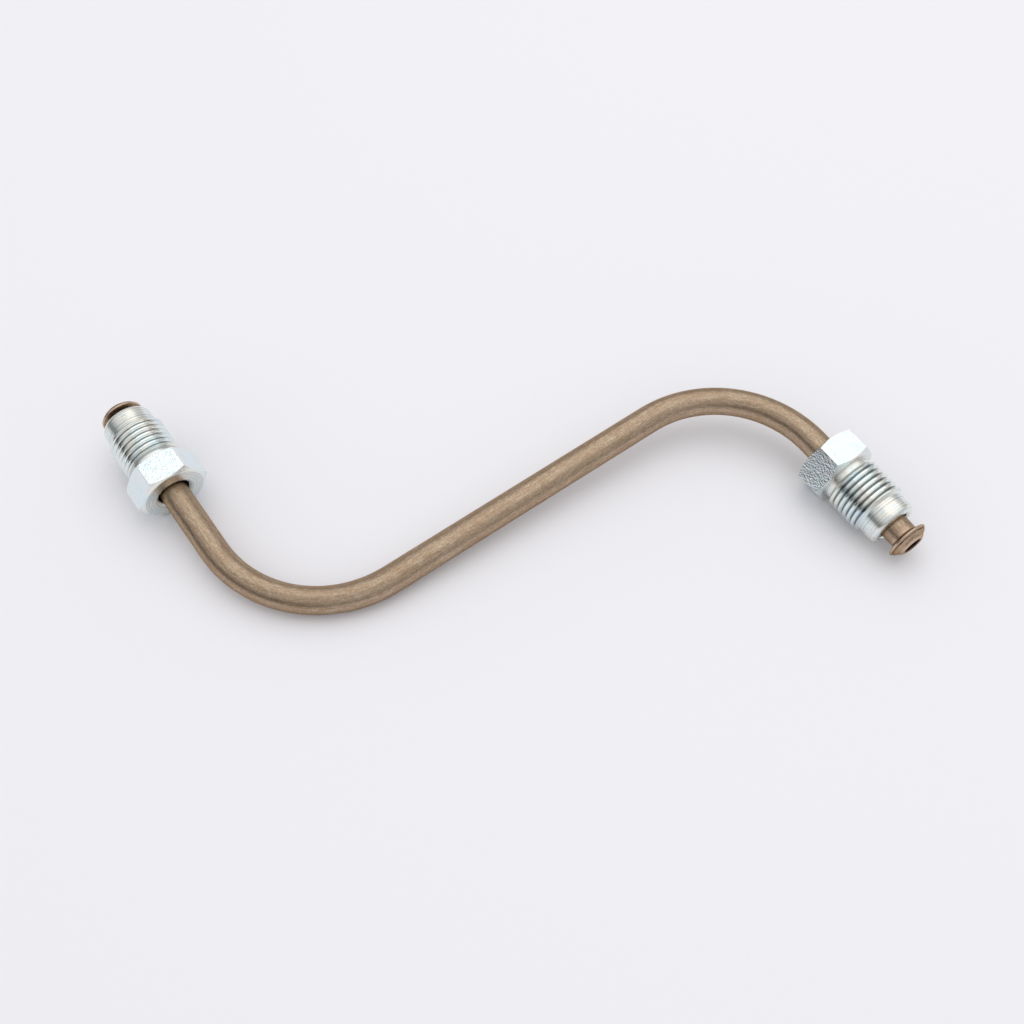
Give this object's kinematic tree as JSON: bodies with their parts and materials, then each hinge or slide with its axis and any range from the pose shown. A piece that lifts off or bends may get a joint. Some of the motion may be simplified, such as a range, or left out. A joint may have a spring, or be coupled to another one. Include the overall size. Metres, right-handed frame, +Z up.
{
  "type": "brake line",
  "caption": "Short bent hydraulic brake line with a formed flare at each end and a loose male tube nut behind each flare.",
  "frame": {"origin": "on the table that the line lies on, under the middle of its box", "axes": "+X from the first flared end towards the second, +Y away from the first bend's side of the table, +Z up from the table"},
  "size_m": [0.135, 0.0392, 0.0118],
  "materials": {
    "copper_nickel": "drawn copper-nickel tube, dull bronze brown with a fine lengthwise grain",
    "zinc_plated_steel": "turned steel with a clear blue zinc plating"
  },
  "bodies": {
    "tube": {"brake_tube": "copper_nickel"},
    "first_nut": {"first_tube_nut": "zinc_plated_steel"},
    "second_nut": {"second_tube_nut": "zinc_plated_steel"}
  },
  "joints": [
    {"name": "first_nut_slide", "type": "slide", "parent": "tube", "child": "first_nut", "axis": [0.5765, -0.8081, -0.1208], "range_m": [0, 0.012]},
    {"name": "second_nut_slide", "type": "slide", "parent": "tube", "child": "second_nut", "axis": [-0.5591, 0.8265, 0.065], "range_m": [-0.0018, 0.0024]}
  ]
}
